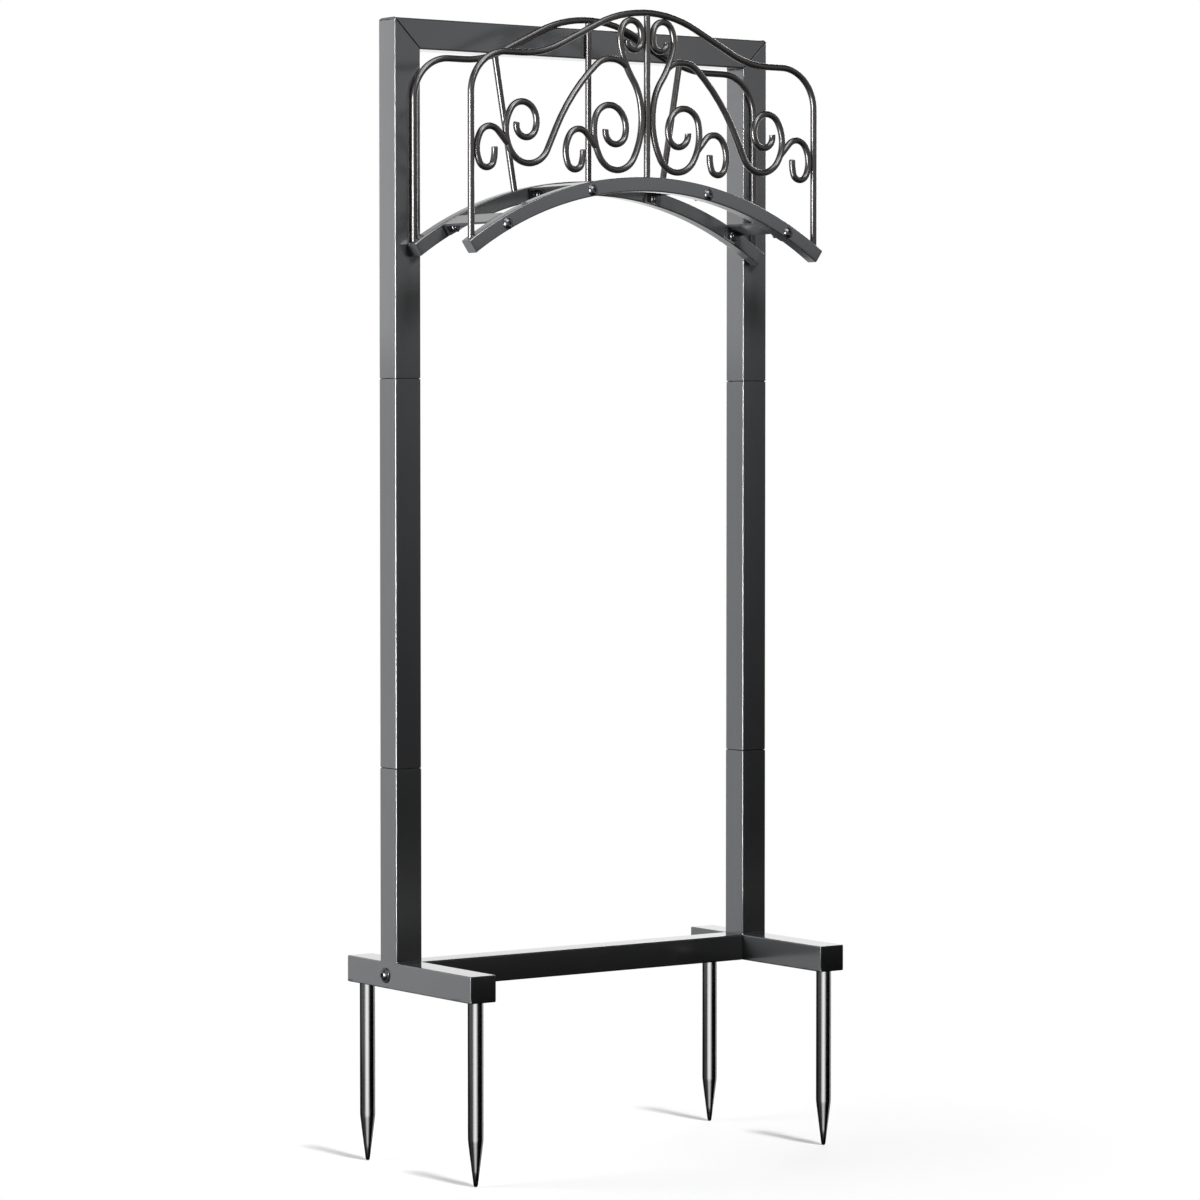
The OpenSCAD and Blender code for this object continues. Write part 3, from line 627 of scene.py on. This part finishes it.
def nut(flats, height, bore_r):
    """A hexagon nut that sits on its seat and rises along +Z, its corners turned off"""
    part = bmesh.new()
    hex_r = flats / 2 / math.cos(math.pi / 6)
    face_r = flats / 2 - 0.0002
    turned_h = 0.0006
    rings = [ring_of(part, radius, level, 6) for radius, level in (
        (face_r, 0), (hex_r, turned_h), (hex_r, height - turned_h), (face_r, height))]
    bridge(part, rings)
    bores = [ring_of(part, bore_r, level, 24) for level in (0, height)]
    bmesh.ops.bridge_loops(part, edges=rings[0] + bores[0])
    bmesh.ops.bridge_loops(part, edges=rings[-1] + bores[1])
    bmesh.ops.bridge_loops(part, edges=bores[0] + bores[1])
    return part


def fit(bm, part, matrix):
    """Sets a finished fastener in its place, beside the others of its piece"""
    part.transform(matrix)
    mesh = bpy.data.meshes.new("fastener")
    part.to_mesh(mesh)
    part.free()
    bm.from_mesh(mesh)
    bpy.data.meshes.remove(mesh)


def facing(point, direction, spin=0):
    """A frame at a point whose +Z runs along a direction"""
    turn = Vector(direction).to_track_quat("Z", "Y").to_matrix().to_4x4()
    return Matrix.Translation(point) @ turn @ Matrix.Rotation(math.radians(spin), 4, "Z")


arch_bolt_drop = 0.007
bolt_r = arch_r - arch_bolt_drop
socket_turn = 17
screws, nuts = bmesh.new(), bmesh.new()
for turn, (name, angle) in enumerate(strap_places):
    a = math.radians(angle)
    x, z = bolt_r * math.sin(a), arch_z + bolt_r * math.cos(a)
    for face, seat, way in ((front_arch_y - arch_w, front_arch_y + strap_t, 1),
                            (rear_arch_y, saddle_rear - strap_t, -1)):
        fit(screws, screw(shank_r=0.0025, shank_l=0.019, head_r=0.00475, head_h=0.00275),
            facing((x, face, z), (0, way, 0), turn * socket_turn))
        fit(nuts, nut(flats=0.008, height=0.004, bore_r=0.00255),
            facing((x, seat, z), (0, way, 0), angle))
finish_piece(screws, "arch_screws", dark_zinc, ["arch_bolts"])
finish_piece(nuts, "arch_hex_nuts", dark_zinc, ["arch_nuts"])

washer_t = 0.0012
foot_screw_y = 0.004
screws, washers = bmesh.new(), bmesh.new()
for side in (-1, 1):
    outer = side * (post_x + tube_w / 2)
    fit(screws, screw(shank_r=0.003, shank_l=0.0432, head_r=0.00525, head_h=0.0033),
        facing((outer + side * washer_t, foot_screw_y, foot_h / 2), (-side, 0, 0), spin=20))
    fit(washers, washer(bore_r=0.0031, rim_r=0.00625, thick=washer_t),
        facing((outer, foot_screw_y, foot_h / 2), (side, 0, 0)))
finish_piece(screws, "foot_screws", dark_zinc, ["cross_bar_bolts"])
finish_piece(washers, "foot_screw_washers", dark_zinc, ["cross_bar_washers"])


# Pieces out of sight: the sleeves in the post joints, the threaded blocks in the cross bar and the
# nuts over the spikes. They keep their CAD form, in the screws' zinc plate.

for name in ("left_upper_sleeve", "right_upper_sleeve", "left_lower_sleeve", "right_lower_sleeve",
             "cross_bar_blocks", "spike_nuts"):
    plain = frame["nodes"][name]
    plain.data.materials.clear()
    plain.data.materials.append(dark_zinc)


# Stage: a white studio floor under the spikes' tips, soft boxes, and the black flags and white
# cards that a polished rod or tube shows to a camera. No camera sees the flags and the cards.

floor_z = -spike_l


def sheet(name, width, depth, place, aim, material):
    """A flat sheet that faces a point and isn't part of the object"""
    way = (Vector(aim) - Vector(place)).to_track_quat("Z", "Y").to_matrix().to_4x4()
    bm = bmesh.new()
    bmesh.ops.create_grid(bm, x_segments=2, y_segments=2, size=0.5, matrix=Matrix.Translation(place)
                          @ way @ Matrix.Diagonal((width, depth, 1, 1)))
    mesh = bpy.data.meshes.new(name)
    bm.to_mesh(mesh)
    bm.free()
    mesh.materials.append(material)
    made = bpy.data.objects.new(name, mesh)
    bpy.context.scene.collection.objects.link(made)
    return made


def shown_rays(tree, path):
    """Is 1 for what the camera sees, straight, in a mirror or through glass, and 0 for the rest"""
    mirrored = add(tree, "ShaderNodeMath", {"operation": "MAXIMUM"},
                   {0: path.outputs["Is Glossy Ray"], 1: path.outputs["Is Transmission Ray"]})
    shown = add(tree, "ShaderNodeMath", {"operation": "MAXIMUM"},
                {0: path.outputs["Is Camera Ray"], 1: mirrored.outputs["Value"]})
    return shown.outputs["Value"]


# White paper: it turns plain white a little way from the object, and near it keeps the shadow.
paper = new_finish("white_studio_paper")
tree = paper.node_tree
place = add(tree, "ShaderNodeTexCoord", {})
distance = add(tree, "ShaderNodeVectorMath", {"operation": "LENGTH"},
               {0: place.outputs["Object"]})
fade = add(tree, "ShaderNodeMapRange", {"From Min": 0.24, "From Max": 0.5, "To Min": 0.3,
           "To Max": 1.0}, {"Value": distance.outputs["Value"]})
path = add(tree, "ShaderNodeLightPath", {})
seen = add(tree, "ShaderNodeMath", {"operation": "MULTIPLY"},
           {0: fade.outputs["Result"], 1: shown_rays(tree, path)})
grey = add(tree, "ShaderNodeMix", {"data_type": "RGBA", 6: linear("#f2f2f2"), 7: linear("#686868")},
           {"Factor": path.outputs["Is Diffuse Ray"]})
matt = add(tree, "ShaderNodeBsdfDiffuse", {}, {"Color": grey.outputs[2]})
white = add(tree, "ShaderNodeEmission", {"Color": (1, 1, 1, 1), "Strength": 1.0})
both = add(tree, "ShaderNodeMixShader", {}, {0: seen.outputs["Value"], 1: matt.outputs["BSDF"],
           2: white.outputs["Emission"]})
add(tree, "ShaderNodeOutputMaterial", {}, {"Surface": both.outputs["Shader"]})
floor = sheet("floor", 18.0, 18.0, (0, 0, floor_z), (0, 0, 1), paper)

card_away = 0.028
card_w = 0.037
card_z = -spike_l / 2


def beside(x, y, turn):
    """A card's place by a spike, its turn in degrees clockwise from the front, seen from above"""
    turn = math.radians(turn)
    return (x - card_away * math.sin(turn), y - card_away * math.cos(turn), card_z)


# Black velvet flags, which only take light away from what shines: name, width and depth, place and
# point aimed at. Each spike has one behind it.
velvet = new_finish("black_velvet")
tree = velvet.node_tree
dark = add(tree, "ShaderNodeBsdfDiffuse", {"Color": linear("#050505")})
add(tree, "ShaderNodeOutputMaterial", {}, {"Surface": dark.outputs["BSDF"]})
flags = [("floor_flag", 2.1, 2.1, (0.35, -0.45, floor_z + 0.001), (0.35, -0.45, 1)),
         ("right_flag", 3.2, 0.9, (1.3, -1.8, 0.2), (0, 0, 0.2)),
         ("ceiling_flag", 6.0, 6.0, (0, 0, 2.6), (0, 0, 0))]
for name, x, y in spike_places:
    flags.append((name + "_spike_flag", card_w, spike_l, beside(x, y, 166), (x, y, card_z)))
for name, width, depth, place, aim in flags:
    flag = sheet(name, width, depth, place, aim, velvet)
    flag.visible_camera = flag.visible_shadow = flag.visible_transmission = False

# The room is plain white to the camera and dim to what it lights, so that the lamps do the work.
world = bpy.data.worlds.new("studio")
bpy.context.scene.world = world
world.use_nodes = True
tree = world.node_tree
tree.nodes.clear()
path = add(tree, "ShaderNodeLightPath", {})
soft = add(tree, "ShaderNodeBackground", {"Color": (1, 1, 1, 1), "Strength": 0.09})
bright = add(tree, "ShaderNodeBackground", {"Color": (1, 1, 1, 1), "Strength": 1.0})
both = add(tree, "ShaderNodeMixShader", {}, {0: shown_rays(tree, path),
           1: soft.outputs["Background"], 2: bright.outputs["Background"]})
add(tree, "ShaderNodeOutputWorld", {}, {"Surface": both.outputs["Shader"]})

# Lamps: name, place, point aimed at, width and height, radiance, spread in degrees, and whether it
# lights surfaces and shows as a highlight on them. Each spike has three cards close by.
lamps = [("left_box", (-1.9, 0.7, 0.4), (0, 0, 0.35), (1.2, 1.4), 13.8, 180, True, False),
         ("edge_card", (-1.835, -0.492, 0.4), (0, 0, 0.4), (0.53, 1.1), 90, 180, False, True),
         ("key_box", (0.0, -1.05, 1.2), (-0.02, -0.08, 0.62), (0.35, 0.35), 2.3, 44, True, True),
         ("head_card", (-1.1, 1.25, 0.95), (0, 0, 0.95), (1.2, 0.8), 1.0, 180, False, True),
         ("top_card", (-0.2, -0.5, 1.6), (0, -0.1, 0.65), (1.0, 0.8), 9, 180, False, True),
         ("fill_box", (1.9, 1.6, 1.3), (0, 0, 0.4), (1.2, 1.2), 5, 180, True, True),
         ("back_card", (1.5, 2.1, 0.25), (0, 0, 0.1), (3.0, 0.8), 0.5, 180, False, True)]
for name, x, y in spike_places:
    for kind, turn, width, radiance in (("bright", 40, card_w, 4.2), ("dim", 98, card_w, 0.15),
                                        ("thin", -80, 0.012, 0.8)):
        lamps.append((name + "_" + kind + "_card", beside(x, y, turn), (x, y, card_z),
                      (width, spike_l), radiance, 80, False, True))
for name, place, aim, size, radiance, spread, lights, shows in lamps:
    lamp = bpy.data.lights.new(name, "AREA")
    lamp.shape = "RECTANGLE"
    lamp.size, lamp.size_y = size
    lamp.energy = radiance * math.pi * size[0] * size[1]
    lamp.spread = math.radians(spread)
    box = bpy.data.objects.new(name, lamp)
    box.location = place
    box.rotation_mode = "QUATERNION"
    box.rotation_quaternion = (Vector(aim) - Vector(place)).to_track_quat("-Z", "Y")
    box.visible_camera = False
    box.visible_diffuse = lights
    box.visible_glossy = shows
    bpy.context.scene.collection.objects.link(box)

# The edge card shines on the posts with their feet, the rods and the screws alone, and draws a
# white line along their left edges. The rail and the arches don't mirror it.
edge_lit = bpy.data.collections.new("upright_pieces")
for piece in bpy.data.objects:
    if piece.type == "MESH" and (
            piece.data.materials[0] in (gunmetal_coat, dark_zinc)
            or piece.name.endswith(("_lower_post", "_middle_tube", "_upper_tube"))):
        edge_lit.objects.link(piece)
bpy.data.objects["edge_card"].light_linking.receiver_collection = edge_lit

# A sun for the floor alone, in which each spike throws a short streak to the back. By itself it
# lights a plain white sheet to three quarters of white.
sun_height = math.radians(60)
sun = bpy.data.lights.new("floor_sun", "SUN")
sun.energy = 0.75 * math.pi / math.sin(sun_height)
sun.angle = math.radians(7)
sunny = bpy.data.objects.new("floor_sun", sun)
sunny.rotation_mode = "QUATERNION"
sun_way = Vector((0, math.cos(sun_height), -math.sin(sun_height)))
sunny.rotation_quaternion = sun_way.to_track_quat("-Z", "Y")
sunny.visible_glossy = False
sunny.light_linking.receiver_collection = bpy.data.collections.new("sun_lights")
sunny.light_linking.receiver_collection.objects.link(floor)
sunny.light_linking.blocker_collection = bpy.data.collections.new("sun_shadows")
for name, x, y in spike_places:
    spike = bpy.data.objects[name + "_ground_spike"]
    sunny.light_linking.blocker_collection.objects.link(spike)
bpy.context.scene.collection.objects.link(sunny)

# The photograph's camera, solved from the straight edges of the frame.
lens = bpy.data.cameras.new("camera")
lens.lens = 132.15
lens.sensor_width = 36.0
lens.clip_start, lens.clip_end = 0.1, 40.0
camera = bpy.data.objects.new("camera", lens)
camera.location = (-2.15688, -3.03466, 0.46251)
camera.rotation_mode = "QUATERNION"
camera.rotation_quaternion = Vector((0.58295776, 0.81155199, -0.03928896)).to_track_quat("-Z", "Y")
bpy.context.scene.collection.objects.link(camera)
bpy.context.scene.camera = camera
bpy.context.scene.view_settings.view_transform = "Standard"
